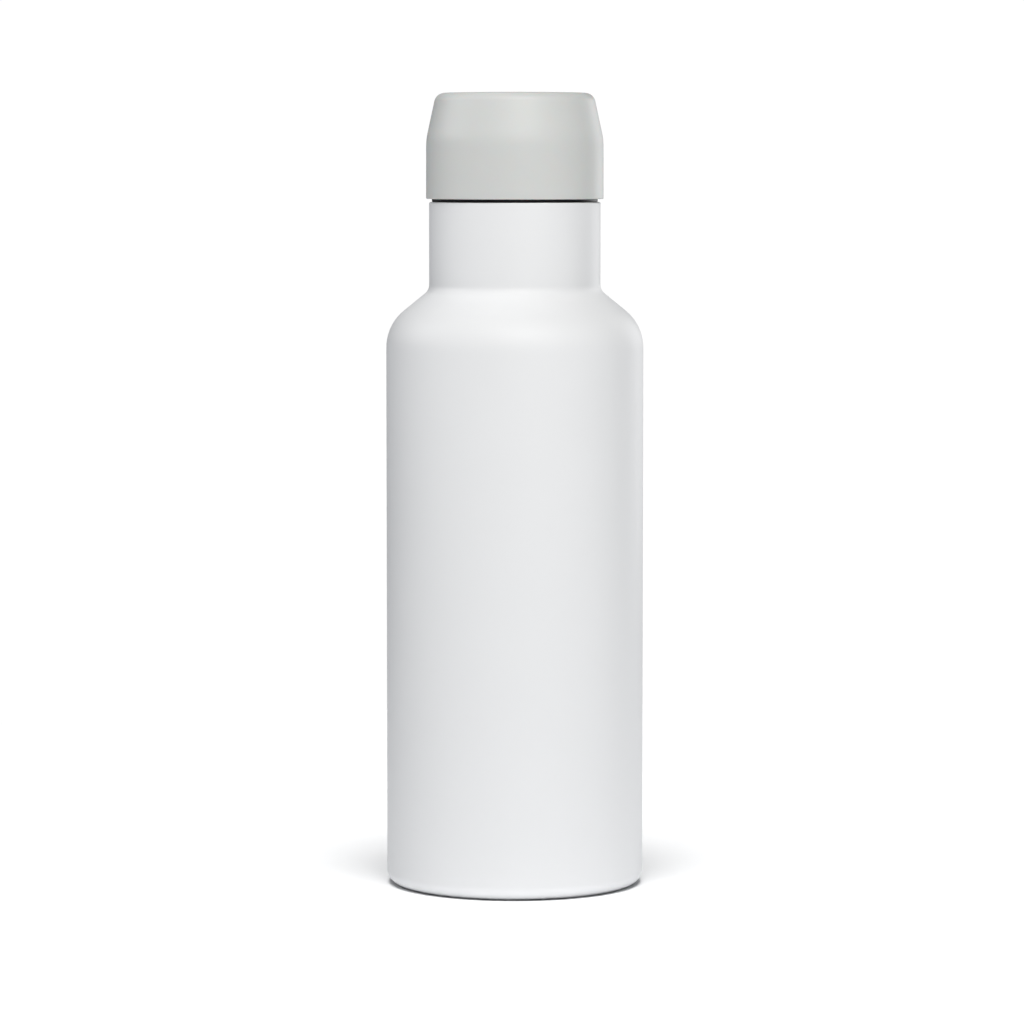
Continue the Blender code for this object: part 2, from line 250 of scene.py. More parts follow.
# ------------------------------------------------------------------------------------------
# BASE PAN AND ITS WELD
# A pressed stainless dish closes the space between the two walls. It is laser-welded inside
# the standing ring, and the weld shows as a ring of fine overlapping ripples.
# ------------------------------------------------------------------------------------------
pan_low, pan_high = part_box("base_pan")
pan_radius = foot_inner - 0.00004
pan_sheet = 0.0005
seal_hole = 0.0015
pan_lower = pan_high.z - pan_sheet
pan_face = rounded([
    (seal_hole, pan_lower, 0.0),
    (pan_radius - pan_sheet, pan_lower, 0.0007),
    (pan_radius - pan_sheet, pan_low.z, 0.0),
])
pan_back = rounded([
    (pan_radius, pan_low.z, 0.0),
    (pan_radius, pan_high.z, 0.0012),
    (seal_hole, pan_high.z, 0.0),
])
vacuum_pan = turned("vacuum_pan", [(pan_face + pan_back, stainless)])
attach(vacuum_pan, "bottle")
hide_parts("base_pan")

# Laser weld in stainless: the same metal melted and frozen again, bright, with straw-coloured
# patches where the heat has tinted the steel.
weld_steel, tree, shader = surface("laser_weld", Metallic=1.0, Roughness=0.32)
place = add(tree, "ShaderNodeTexCoord").outputs["Object"]
heat = add(tree, "ShaderNodeTexNoise", {"Vector": place, "Scale": 900.0, "Detail": 2.0})
straw = add(tree, "ShaderNodeMix", {
    0: heat.outputs["Fac"], 6: linear("b9b6b1"), 7: linear("a89878")}, data_type="RGBA")
tree.links.new(straw.outputs[2], shader.inputs["Base Color"])

# The weld tree lays flattened ripples round a circle, so close that each overlaps the next.
weld_tree = bpy.data.node_groups.new("weld_ripples", "GeometryNodeTree")
weld_tree.interface.new_socket("Geometry", in_out="INPUT", socket_type="NodeSocketGeometry")
for label in ("Radius", "Height", "Ripple"):
    weld_tree.interface.new_socket(label, in_out="INPUT", socket_type="NodeSocketFloat")
weld_tree.interface.new_socket("Finish", in_out="INPUT", socket_type="NodeSocketMaterial")
weld_tree.interface.new_socket("Geometry", in_out="OUTPUT", socket_type="NodeSocketGeometry")
given = add(weld_tree, "NodeGroupInput")
girth = add(weld_tree, "ShaderNodeMath", {
    0: given.outputs["Radius"], 1: 2 * math.pi}, operation="MULTIPLY")
spacing = add(weld_tree, "ShaderNodeMath", {
    0: given.outputs["Ripple"], 1: 0.6}, operation="MULTIPLY")
count = add(weld_tree, "ShaderNodeMath", {
    0: girth.outputs[0], 1: spacing.outputs[0]}, operation="DIVIDE")
circle = add(weld_tree, "GeometryNodeMeshCircle", {
    "Vertices": count.outputs[0], "Radius": given.outputs["Radius"]})
lift = add(weld_tree, "ShaderNodeCombineXYZ", {"Z": given.outputs["Height"]})
raised = add(weld_tree, "GeometryNodeSetPosition", {
    "Geometry": circle.outputs["Mesh"], "Offset": lift.outputs["Vector"]})
ripple = add(weld_tree, "GeometryNodeMeshIcoSphere", {
    "Radius": given.outputs["Ripple"], "Subdivisions": 2})
placed = add(weld_tree, "GeometryNodeInstanceOnPoints", {
    "Points": raised.outputs["Geometry"], "Instance": ripple.outputs["Mesh"],
    "Scale": (1.0, 1.0, 0.45)})
real = add(weld_tree, "GeometryNodeRealizeInstances", {"Geometry": placed.outputs["Instances"]})
dressed = add(weld_tree, "GeometryNodeSetMaterial", {
    "Geometry": real.outputs["Geometry"], "Material": given.outputs["Finish"]})
add(weld_tree, "NodeGroupOutput", {"Geometry": dressed.outputs["Geometry"]})


def grown(piece, tree, values):
    """Run a Geometry Nodes tree on the piece and keep its result as the piece's plain mesh."""
    modifier = piece.modifiers.new(tree.name, "NODES")
    modifier.node_group = tree
    sockets = {s.name: s.identifier for s in tree.interface.items_tree if s.in_out == "INPUT"}
    for name, value in values.items():
        modifier[sockets[name]] = value
    bpy.context.view_layer.update()
    evaluated = piece.evaluated_get(bpy.context.evaluated_depsgraph_get())
    mesh = bpy.data.meshes.new_from_object(evaluated)
    piece.modifiers.remove(modifier)
    piece.data = mesh
    mesh.shade_smooth()


def weld(name, radius, height, ripple):
    """A ring of weld ripples round the bottle's axis."""
    seam = bpy.data.objects.new(name, bpy.data.meshes.new(name))
    bpy.context.collection.objects.link(seam)
    grown(seam, weld_tree, {
        "Radius": radius, "Height": height, "Ripple": ripple, "Finish": weld_steel})
    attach(seam, "bottle")


weld("base_weld", radius=foot_inner - 0.0002, height=0.00045, ripple=0.0003)

# ------------------------------------------------------------------------------------------
# SEAL BEAD
# The air is drawn out through a hole in the pan, and a pellet of solder glass is melted over
# it in the furnace. It wets the steel and freezes as a low dome with a stem in the hole.
# ------------------------------------------------------------------------------------------
bead_low, bead_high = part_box("seal_bead")

# Solder glass: dark grey-green, glossy, and a little cloudy from its filler.
solder_glass, tree, shader = surface("solder_glass", Roughness=0.12, IOR=1.75)
place = add(tree, "ShaderNodeTexCoord").outputs["Object"]
filler = add(tree, "ShaderNodeTexNoise", {"Vector": place, "Scale": 2500.0, "Detail": 3.0})
murk = add(tree, "ShaderNodeMix", {
    0: filler.outputs["Fac"], 6: linear("4d524b"), 7: linear("6b7067")}, data_type="RGBA")
tree.links.new(murk.outputs[2], shader.inputs["Base Color"])

glass_bead = turned("glass_bead", [(rounded([
    (0.0, bead_low.z, 0.0),
    (bead_high.x - 0.0003, bead_low.z, 0.0008),
    (bead_high.x, pan_lower - 0.00002, 0.0001),
    (seal_hole - 0.00005, pan_lower - 0.00002, 0.0),
    (seal_hole - 0.00005, pan_high.z, 0.0004),
    (0.0, bead_high.z, 0.0),
]), solder_glass)], segments=64)
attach(glass_bead, "bottle")
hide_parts("seal_bead")

# ------------------------------------------------------------------------------------------
# BASE COVER
# A thin pressed disc, coated with the body's powder and bonded into the recess, hides the
# bead. Its middle is pressed up a quarter of a millimetre to stiffen it.
# ------------------------------------------------------------------------------------------
cover_low, cover_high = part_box("base_cover")
cover_radius = pan_radius - pan_sheet - 0.00005
panel_radius = 0.026
panel_step = 0.00025
cover_disc = turned("cover_disc", [(rounded([
    (0.0, cover_low.z + panel_step, 0.0),
    (panel_radius - panel_step, cover_low.z + panel_step, 0.0003),
    (panel_radius, cover_low.z, 0.0003),
    (cover_radius, cover_low.z, 0.0002),
    (cover_radius, cover_high.z, 0.0001),
    (0.0, cover_high.z, 0.0),
]), powder_coat)])
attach(cover_disc, "bottle")
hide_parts("base_cover")

# ------------------------------------------------------------------------------------------
# INNER FLASK
# A second stainless tube, 0.5 mm thick, hangs inside the shell from the mouth, where the two
# are welded and polished to one lip. Its two-start thread is rolled into the neck, so the
# sheet waves on both faces, and a pressed cup is welded into its foot.
# ------------------------------------------------------------------------------------------
_, liner_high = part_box("liner_body")
cup_low, cup_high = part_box("liner_bottom")
liner_radius = liner_high.x
liner_wall = 0.0005
liner_neck = 0.0224
liner_shoulder_bend = shoulder_bend - (body_radius - liner_radius)
liner_neck_bend = neck_bend + neck_radius - liner_neck
lip_radius = neck_radius - shell_wall - 0.00002
lip_thickness = 0.0005
flare_start = 0.1914
flare_end = 0.1928
thread_low = 0.174
thread_high = 0.190
thread_pitch = 0.004
thread_starts = 2.0
thread_depth = 0.001
thread_fade = 0.002


def threaded(path, low, high, step=0.00022):
    """The path with extra points between two heights, where a thread will lift them."""
    dense = [path[0]]
    for here in path[1:]:
        last = dense[-1]
        rise = here.y - last.y
        upright = abs(here.x - last.x) < 0.00001 and abs(rise) > step
        if upright and min(here.y, last.y) < high and max(here.y, last.y) > low:
            pieces = math.ceil(abs(rise) / step)
            dense += [last.lerp(here, i / pieces) for i in range(1, pieces)]
        dense.append(here)
    return dense


# The thread tree moves the points of a turned wall in or out along helices. Sharpness 0.5
# gives a round rolled wave, and more gives ridges with flat crests and straight flanks.
thread_tree = bpy.data.node_groups.new("screw_thread", "GeometryNodeTree")
thread_tree.interface.new_socket("Geometry", in_out="INPUT", socket_type="NodeSocketGeometry")
for label in ("Inner", "Outer", "Depth", "Side", "Sharpness",
              "Pitch", "Starts", "Low", "High", "Fade"):
    thread_tree.interface.new_socket(label, in_out="INPUT", socket_type="NodeSocketFloat")
thread_tree.interface.new_socket("Finish", in_out="INPUT", socket_type="NodeSocketMaterial")
thread_tree.interface.new_socket("Geometry", in_out="OUTPUT", socket_type="NodeSocketGeometry")
given = add(thread_tree, "NodeGroupInput")
point = add(thread_tree, "GeometryNodeInputPosition").outputs["Position"]
axes = add(thread_tree, "ShaderNodeSeparateXYZ", {"Vector": point})
flat = add(thread_tree, "ShaderNodeCombineXYZ", {"X": axes.outputs["X"], "Y": axes.outputs["Y"]})
reach = add(thread_tree, "ShaderNodeVectorMath", {
    0: flat.outputs["Vector"]}, operation="LENGTH")
outward = add(thread_tree, "ShaderNodeVectorMath", {
    0: flat.outputs["Vector"]}, operation="NORMALIZE")
angle = add(thread_tree, "ShaderNodeMath", {
    0: axes.outputs["Y"], 1: axes.outputs["X"]}, operation="ARCTAN2")
wound = add(thread_tree, "ShaderNodeMath", {
    0: angle.outputs[0], 1: given.outputs["Starts"]}, operation="MULTIPLY")
pitches = add(thread_tree, "ShaderNodeMath", {
    0: axes.outputs["Z"], 1: given.outputs["Pitch"]}, operation="DIVIDE")
risen = add(thread_tree, "ShaderNodeMath", {
    0: pitches.outputs[0], 1: 2 * math.pi}, operation="MULTIPLY")
phase = add(thread_tree, "ShaderNodeMath", {
    0: risen.outputs[0], 1: wound.outputs[0]}, operation="SUBTRACT")
wave = add(thread_tree, "ShaderNodeMath", {0: phase.outputs[0]}, operation="COSINE")
sided = add(thread_tree, "ShaderNodeMath", {
    0: wave.outputs[0], 1: given.outputs["Side"]}, operation="MULTIPLY")
ridge = add(thread_tree, "ShaderNodeMath", {
    0: sided.outputs[0], 1: given.outputs["Sharpness"], 2: 0.5},
    operation="MULTIPLY_ADD", use_clamp=True)
above = add(thread_tree, "ShaderNodeMath", {
    0: axes.outputs["Z"], 1: given.outputs["Low"]}, operation="SUBTRACT")
below = add(thread_tree, "ShaderNodeMath", {
    0: given.outputs["High"], 1: axes.outputs["Z"]}, operation="SUBTRACT")
nearest = add(thread_tree, "ShaderNodeMath", {
    0: above.outputs[0], 1: below.outputs[0]}, operation="MINIMUM")
fade = add(thread_tree, "ShaderNodeMath", {
    0: nearest.outputs[0], 1: given.outputs["Fade"]}, operation="DIVIDE", use_clamp=True)
height = add(thread_tree, "ShaderNodeMath", {
    0: ridge.outputs[0], 1: fade.outputs[0]}, operation="MULTIPLY")
move = add(thread_tree, "ShaderNodeMath", {
    0: height.outputs[0], 1: given.outputs["Depth"]}, operation="MULTIPLY")
signed = add(thread_tree, "ShaderNodeMath", {
    0: move.outputs[0], 1: given.outputs["Side"]}, operation="MULTIPLY")
offset = add(thread_tree, "ShaderNodeVectorMath", {
    0: outward.outputs["Vector"], "Scale": signed.outputs[0]}, operation="SCALE")
outside_inner = add(thread_tree, "FunctionNodeCompare", {
    0: reach.outputs["Value"], 1: given.outputs["Inner"]}, operation="GREATER_THAN")
inside_outer = add(thread_tree, "FunctionNodeCompare", {
    0: reach.outputs["Value"], 1: given.outputs["Outer"]}, operation="LESS_THAN")
on_wall = add(thread_tree, "FunctionNodeBooleanMath", {
    0: outside_inner.outputs["Result"], 1: inside_outer.outputs["Result"]}, operation="AND")
moved = add(thread_tree, "GeometryNodeSetPosition", {
    "Geometry": given.outputs["Geometry"], "Selection": on_wall.outputs["Boolean"],
    "Offset": offset.outputs["Vector"]})
real = add(thread_tree, "GeometryNodeRealizeInstances", {"Geometry": moved.outputs["Geometry"]})
dressed = add(thread_tree, "GeometryNodeSetMaterial", {
    "Geometry": real.outputs["Geometry"], "Material": given.outputs["Finish"]})
add(thread_tree, "NodeGroupOutput", {"Geometry": dressed.outputs["Geometry"]})

liner_shoulder = shoulder_start + liner_shoulder_bend * math.tan(shoulder_turn / 2)
liner_rise = (liner_radius - liner_neck) / math.tan(shoulder_turn)
liner_outside = rounded([
    (liner_radius, cup_high.z + 0.0001, 0.0),
    (liner_radius, liner_shoulder, liner_shoulder_bend),
    (liner_neck, liner_shoulder + liner_rise, liner_neck_bend),
    (liner_neck, flare_start, 0.0012),
    (lip_radius, flare_end, 0.0009),
    (lip_radius, neck_top - 0.0003, 0.0),
])
liner_outside = threaded(liner_outside, thread_low, thread_high)
liner_inside = inset(liner_outside, liner_wall)[::-1]
lip = rounded([
    (lip_radius, neck_top - 0.0002, 0.0),
    (lip_radius, neck_top - 0.00003, 0.00008),
    (lip_radius - lip_thickness, neck_top - 0.00003, 0.00025),
    (lip_radius - lip_thickness, neck_top - 0.0007, 0.0),
])
flask_liner = turned("flask_liner", [(liner_outside + lip[:-1] + liner_inside, stainless)])
grown(flask_liner, thread_tree, {
    "Inner": liner_neck - liner_wall - 0.0001, "Outer": liner_neck + 0.0001,
    "Depth": thread_depth, "Side": -1.0, "Sharpness": 0.5,
    "Pitch": thread_pitch, "Starts": thread_starts,
    "Low": thread_low, "High": thread_high, "Fade": thread_fade, "Finish": stainless})
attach(flask_liner, "bottle")
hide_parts("liner_body")

foot_bend_liner = 0.006
stamp_radius = 0.014
stamp_rise = 0.0004
stamp_slope = 0.0015
cup_outside = rounded([
    (0.0, cup_low.z + stamp_rise, 0.0),
    (stamp_radius, cup_low.z + stamp_rise, 0.001),
    (stamp_radius + stamp_slope, cup_low.z, 0.001),
    (liner_radius, cup_low.z, foot_bend_liner),
    (liner_radius, cup_high.z, 0.0),
])
cup_inside = inset(cup_outside, liner_wall)[::-1]
flask_foot = turned("flask_foot", [(cup_outside + cup_inside, stainless)])
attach(flask_foot, "bottle")
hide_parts("liner_bottom")
weld("flask_foot_weld",
     radius=liner_radius - liner_wall / 2, height=cup_high.z + 0.00005, ripple=0.0004)

# ------------------------------------------------------------------------------------------
# COPPER FOIL
# One turn of thin copper foil is wrapped round the inner flask before assembly, with its end
# lapped over its start. It reflects radiant heat and is crinkled from being pressed on.
# ------------------------------------------------------------------------------------------
foil_low, foil_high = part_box("copper_foil")
foil_radius = foil_high.x - 0.00018
foil_sheet = 0.00006
foil_lap = 0.35
lap_ramp = 0.1
lap_rise = 0.00009
crinkle_depth = 0.00004
crinkle_limit = 0.0001
crinkles_per_radian = 9
foil_rows = 90
foil_columns = 300

# Bare copper foil: bright warm metal, a little dulled by the furnace in soft clouds.
copper, tree, shader = surface("copper_foil", Metallic=1.0)
place = add(tree, "ShaderNodeTexCoord").outputs["Object"]
bloom = add(tree, "ShaderNodeTexNoise", {"Vector": place, "Scale": 70.0, "Detail": 4.0})
copper_tint = add(tree, "ShaderNodeMix", {
    0: bloom.outputs["Fac"], 6: linear("e0a184"), 7: linear("c67f5e")}, data_type="RGBA")
tree.links.new(copper_tint.outputs[2], shader.inputs["Base Color"])
copper_dull = add(tree, "ShaderNodeMapRange", {
    "Value": bloom.outputs["Fac"], "To Min": 0.18, "To Max": 0.38})
tree.links.new(copper_dull.outputs["Result"], shader.inputs["Roughness"])

bm = bmesh.new()
faces_of_foil = []
for side in (0, 1):
    rows = []
    for row in range(foil_rows + 1):
        height = foil_low.z + (foil_high.z - foil_low.z) * row / foil_rows
        line = []
        for column in range(foil_columns + 1):
            turn = (2 * math.pi + foil_lap) * column / foil_columns
            climbed = (turn - 2 * math.pi + lap_ramp) / lap_ramp
            lapped = max(0.0, min(1.0, climbed)) * lap_rise
            where = Vector((math.cos(turn), math.sin(turn), height / foil_radius))
            where *= crinkles_per_radian
            crinkle = crinkle_depth * noise.ridged_multi_fractal(where, 1.0, 2.0, 4, 1.0, 2.0)
            radius = foil_radius + lapped + min(crinkle, crinkle_limit) - side * foil_sheet
            line.append(bm.verts.new((radius * math.cos(turn), radius * math.sin(turn), height)))
        rows.append(line)
    faces_of_foil.append(rows)
outer_rows, inner_rows = faces_of_foil
for row in range(foil_rows):
    for column in range(foil_columns):
        for rows in (outer_rows, inner_rows):
            bm.faces.new((rows[row][column], rows[row][column + 1],
                          rows[row + 1][column + 1], rows[row + 1][column]))
edge_loop = [(0, column) for column in range(foil_columns)]
edge_loop += [(row, foil_columns) for row in range(foil_rows)]
edge_loop += [(foil_rows, column) for column in range(foil_columns, 0, -1)]
edge_loop += [(row, 0) for row in range(foil_rows, 0, -1)]
for (row, column), (next_row, next_column) in zip(edge_loop, edge_loop[1:] + edge_loop[:1]):
    bm.faces.new((outer_rows[row][column], outer_rows[next_row][next_column],
                  inner_rows[next_row][next_column], inner_rows[row][column]))
bmesh.ops.recalc_face_normals(bm, faces=bm.faces)
foil_mesh = bpy.data.meshes.new("foil_wrap")
bm.to_mesh(foil_mesh)
bm.free()
foil_mesh.shade_smooth()
foil_mesh.set_sharp_from_angle(angle=math.radians(50))
foil_mesh.materials.append(copper)
foil_wrap = bpy.data.objects.new("foil_wrap", foil_mesh)
bpy.context.collection.objects.link(foil_wrap)
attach(foil_wrap, "bottle")
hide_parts("copper_foil")

# ------------------------------------------------------------------------------------------
# GETTER
# A pressed tablet of zirconium powder soaks up the last gas in the vacuum space. It sits in
# a small steel cup, whose brim is spot-welded under the flask in four places.
# ------------------------------------------------------------------------------------------
tablet_low, tablet_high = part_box("getter_pellet")
holder_low, holder_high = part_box("getter_cup")
getter_x = (tablet_low.x + tablet_high.x) / 2
tablet_radius = (tablet_high.x - tablet_low.x) / 2
tablet_edge = 0.0003
holder_radius = (holder_high.x - holder_low.x) / 2
holder_sheet = 0.0003
holder_wall = tablet_radius + 0.0006
spot_welds = 4
spot_radius = 0.0005
spot_depth = 0.0001

# Sintered zirconium alloy: dull near-black metal, grainy from the pressed powder.
zirconium, tree, shader = surface("sintered_zirconium", Metallic=0.7, Roughness=0.68)
place = add(tree, "ShaderNodeTexCoord").outputs["Object"]
powder = add(tree, "ShaderNodeTexNoise", {"Vector": place, "Scale": 6000.0, "Detail": 4.0})
soot = add(tree, "ShaderNodeMix", {
    0: powder.outputs["Fac"], 6: linear("45454a"), 7: linear("75757a")}, data_type="RGBA")
tree.links.new(soot.outputs[2], shader.inputs["Base Color"])
powder_bump = add(tree, "ShaderNodeBump", {
    "Height": powder.outputs["Fac"], "Strength": 0.5, "Distance": 0.00004})
tree.links.new(powder_bump.outputs["Normal"], shader.inputs["Normal"])

tablet = turned("getter_tablet", [(rounded([
    (0.0, tablet_low.z, 0.0),
    (tablet_radius - tablet_edge, tablet_low.z, 0.0001),
    (tablet_radius, tablet_low.z + tablet_edge, 0.0001),
    (tablet_radius, tablet_high.z - tablet_edge, 0.0001),
    (tablet_radius - tablet_edge, tablet_high.z, 0.0001),
    (0.0, tablet_high.z, 0.0),
]), zirconium)], segments=96)
tablet.data.transform(Matrix.Translation((getter_x, 0.0, 0.0)))
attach(tablet, "bottle")
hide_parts("getter_pellet")

holder_face = rounded([
    (0.0, holder_low.z, 0.0),
    (holder_wall, holder_low.z, 0.0006),
    (holder_wall, holder_high.z - holder_sheet, 0.0003),
    (holder_radius, holder_high.z - holder_sheet, 0.0),
])
holder = turned("getter_holder", [
    (holder_face + inset(holder_face, holder_sheet)[::-1], stainless)], segments=96)
for vertex in holder.data.vertices:
    for spot in range(spot_welds):
        turn = 2 * math.pi * (spot + 0.5) / spot_welds
        middle = (holder_wall + holder_radius) / 2
        away = (vertex.co.xy - middle * Vector((math.cos(turn), math.sin(turn)))).length
        if away < spot_radius:
            vertex.co.z += spot_depth * (1 - (away / spot_radius) ** 2)
holder.data.transform(Matrix.Translation((getter_x, 0.0, 0.0)))
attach(holder, "bottle")
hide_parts("getter_cup")

# ------------------------------------------------------------------------------------------
# RIM GASKET
# A moulded silicone ring is stretched over the plug, up against its flange. It is squeezed on
# the mouth's lip, and all that shows of it is a dark line under the cap.
# ------------------------------------------------------------------------------------------
_, gasket_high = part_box("rim_gasket")
gasket_outer = gasket_high.x
gasket_inner = 0.02052
gasket_foot = neck_top + 0.00002
gasket_head = gasket_high.z + 0.00028
gasket_middle = (gasket_foot + gasket_head) / 2

# Silicone rubber, moulded in a lightly blasted tool: near-black, satin, faintly dusty.
silicone, tree, shader = surface("silicone_rubber", Roughness=0.5, IOR=1.41)
place = add(tree, "ShaderNodeTexCoord").outputs["Object"]
dust = add(tree, "ShaderNodeTexNoise", {"Vector": place, "Scale": 3000.0, "Detail": 3.0})
soft_black = add(tree, "ShaderNodeMix", {
    0: dust.outputs["Fac"], 6: linear("262628"), 7: linear("323235")}, data_type="RGBA")
tree.links.new(soft_black.outputs[2], shader.inputs["Base Color"])
blasted = add(tree, "ShaderNodeBump", {
    "Height": dust.outputs["Fac"], "Strength": 0.3, "Distance": 0.00001})
tree.links.new(blasted.outputs["Normal"], shader.inputs["Normal"])

gasket_ring = turned("gasket_ring", [(rounded([
    (gasket_inner, gasket_middle, 0.0),
    (gasket_inner, gasket_foot, 0.0003),
    (gasket_outer - 0.0012, gasket_foot, 0.0),
    (gasket_outer, gasket_foot, 0.0003),
    (gasket_outer, gasket_head, 0.0003),
    (gasket_inner, gasket_head, 0.0005),
]), silicone)])
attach(gasket_ring, "seal")
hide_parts("rim_gasket")

# ------------------------------------------------------------------------------------------
# CAP SHELL
# The grip of the cap, moulded in pale grey polypropylene with a fine spark-eroded skin: a
# straight skirt, a soft knee, and a crown that leans in to a rounded edge and a flat top.
# ------------------------------------------------------------------------------------------
cap_low, cap_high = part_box("cap_shell")
cap_radius = cap_high.x
cap_wall = 0.0019
skirt_inner = 0.0238
skirt_split = 0.1965
seat_height = 0.1986
knee_height = 0.2121
knee_bend = 0.016
crown_outer = 0.02228
crown_inner = 0.0203
crown_bend = 0.003

# Polypropylene copolymer, moulded on a spark-eroded tool: matte with a fine 0.15 mm grain,
# a little light soaking in at thin edges, and a hint of warm grey.
cap_plastic, tree, shader = surface(
    "matte_polypropylene", IOR=1.49, Subsurface_Weight=0.12, Subsurface_Scale=0.0012)
place = add(tree, "ShaderNodeTexCoord").outputs["Object"]
spark = add(tree, "ShaderNodeTexVoronoi", {"Vector": place, "Scale": 6500.0})
flow = add(tree, "ShaderNodeTexNoise", {"Vector": place, "Scale": 60.0, "Detail": 2.0})
grey = add(tree, "ShaderNodeMix", {
    0: flow.outputs["Fac"], 6: linear("cccecd"), 7: linear("ced0cf")}, data_type="RGBA")
tree.links.new(grey.outputs[2], shader.inputs["Base Color"])
cap_dull = add(tree, "ShaderNodeMapRange", {
    "Value": flow.outputs["Fac"], "To Min": 0.46, "To Max": 0.54})
tree.links.new(cap_dull.outputs["Result"], shader.inputs["Roughness"])
spark_bump = add(tree, "ShaderNodeBump", {
    "Height": spark.outputs["Distance"], "Strength": 0.25, "Distance": 0.00001})
tree.links.new(spark_bump.outputs["Normal"], shader.inputs["Normal"])

cap_outside = rounded([
    (skirt_inner, skirt_split, 0.0),
    (skirt_inner, cap_low.z, 0.0003),
    (cap_radius, cap_low.z, 0.0003),
    (cap_radius - 0.00005, knee_height - 0.0002, knee_bend),
    (crown_outer, cap_high.z, crown_bend),
    (0.0, cap_high.z, 0.0),
])
cap_inside = rounded([
    (0.0, cap_high.z - cap_wall, 0.0),
    (crown_inner, cap_high.z - cap_wall, crown_bend / 2),
    (cap_radius - cap_wall, knee_height, 0.002),
    (cap_radius - cap_wall, seat_height, 0.0001),
    (skirt_inner, seat_height, 0.0001),
    (skirt_inner, skirt_split + 0.0001, 0.0),
])
cap_cover = turned("cap_cover", [(cap_outside + cap_inside, cap_plastic)])
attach(cap_cover, "cap")
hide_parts("cap_shell")

# ------------------------------------------------------------------------------------------
# PLUG
# A threaded sleeve moulded in the same polypropylene, natural and a touch glossier. Its
# flange carries the cap shell, and a disc is welded into its foot with a recessed middle.
# ------------------------------------------------------------------------------------------
plug_low, plug_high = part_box("plug_body")
floor_low, floor_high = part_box("plug_floor")
plug_root = 0.02045
plug_wall = 0.0018
flange_radius = plug_high.x
flange_under = 0.1965
plug_inner = plug_root - plug_wall
sleeve_middle = 0.18
plug_thread_low = 0.1762
plug_thread_high = 0.1882

# Food-grade polypropylene off a polished tool: smooth, milky and slightly see-through.
plug_plastic, tree, shader = surface(
    "smooth_polypropylene", IOR=1.49, Subsurface_Weight=0.25, Subsurface_Scale=0.002)
place = add(tree, "ShaderNodeTexCoord").outputs["Object"]
swirl = add(tree, "ShaderNodeTexNoise", {"Vector": place, "Scale": 80.0, "Detail": 3.0})
milk = add(tree, "ShaderNodeMix", {
    0: swirl.outputs["Fac"], 6: linear("cfd0cd"), 7: linear("d6d7d4")}, data_type="RGBA")
tree.links.new(milk.outputs[2], shader.inputs["Base Color"])
plug_sheen = add(tree, "ShaderNodeMapRange", {
    "Value": swirl.outputs["Fac"], "To Min": 0.3, "To Max": 0.4})
tree.links.new(plug_sheen.outputs["Result"], shader.inputs["Roughness"])

sleeve_outside = threaded(rounded([
    (plug_inner, sleeve_middle, 0.0),
    (plug_inner, plug_low.z, 0.0002),
    (plug_root, plug_low.z, 0.0008),
    (plug_root, flange_under, 0.0002),
    (flange_radius, flange_under, 0.0002),
    (flange_radius, plug_high.z, 0.0003),
    (plug_inner, plug_high.z, 0.0003),
]), plug_thread_low, plug_thread_high)
plug_sleeve = turned("plug_sleeve", [(sleeve_outside, plug_plastic)])
grown(plug_sleeve, thread_tree, {
    "Inner": plug_root - 0.0001, "Outer": plug_root + 0.0001,
    "Depth": thread_depth, "Side": 1.0, "Sharpness": 0.8,
    "Pitch": thread_pitch, "Starts": thread_starts,
    "Low": plug_thread_low, "High": plug_thread_high, "Fade": thread_fade, "Finish": plug_plastic})
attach(plug_sleeve, "cap")
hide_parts("plug_body")

floor_radius = plug_inner - 0.00003
recess_radius = 0.016
recess_depth = 0.0005
gate_radius = 0.0018
gate_depth = 0.0008
plug_disc = turned("plug_disc", [(rounded([
    (0.0, floor_low.z + gate_depth - 0.00025, 0.0),
    (0.0005, floor_low.z + gate_depth - 0.00025, 0.0001),
    (0.0006, floor_low.z + gate_depth, 0.0001),
    (gate_radius, floor_low.z + gate_depth, 0.0002),
    (gate_radius + 0.0003, floor_low.z + recess_depth, 0.0002),
    (recess_radius, floor_low.z + recess_depth, 0.0002),
    (recess_radius + 0.0003, floor_low.z, 0.0002),
    (floor_radius, floor_low.z, 0.0002),
    (floor_radius, floor_high.z, 0.0001),
    (0.0, floor_high.z, 0.0),
]), plug_plastic)])
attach(plug_disc, "cap")
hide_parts("plug_floor")

# ------------------------------------------------------------------------------------------
# FOAM BLOCKS
# Two blocks of moulded bead foam fill the plug and the crown and keep the heat in. The beads
# are about 3 mm across and are squashed flat against each other, with fine seams between.
# ------------------------------------------------------------------------------------------
block_low, block_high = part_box("plug_foam")
dome_low, dome_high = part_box("crown_foam")
dome_top_radius = 0.02

# Expanded polypropylene: chalky white beads, dull all over; the seam round each bead is painted
# darker, which is painted shade in the crease between beads.
bead_foam, tree, shader = surface("expanded_polypropylene", Roughness=0.85, IOR=1.3)
place = add(tree, "ShaderNodeTexCoord").outputs["Object"]
seams = add(tree, "ShaderNodeTexVoronoi", {
    "Vector": place, "Scale": 330.0}, feature="DISTANCE_TO_EDGE")
seam_depth = add(tree, "ShaderNodeMapRange", {
    "Value": seams.outputs["Distance"], "From Max": 0.12})
# Painted shade: the white darkens towards each seam, following the same depth that the bump sinks.
shade = add(tree, "ShaderNodeMix", {
    0: seam_depth.outputs["Result"], 6: linear("cdcac2"), 7: linear("eceae5")}, data_type="RGBA")
tree.links.new(shade.outputs[2], shader.inputs["Base Color"])
bead_bump = add(tree, "ShaderNodeBump", {
    "Height": seam_depth.outputs["Result"], "Strength": 0.8, "Distance": 0.0002})
tree.links.new(bead_bump.outputs["Normal"], shader.inputs["Normal"])

plug_block = turned("plug_foam_block", [(rounded([
    (0.0, block_low.z, 0.0),
    (block_high.x, block_low.z, 0.001),
    (block_high.x, block_high.z, 0.0006),
    (0.0, block_high.z, 0.0),
]), bead_foam)], segments=160)
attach(plug_block, "cap")
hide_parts("plug_foam")

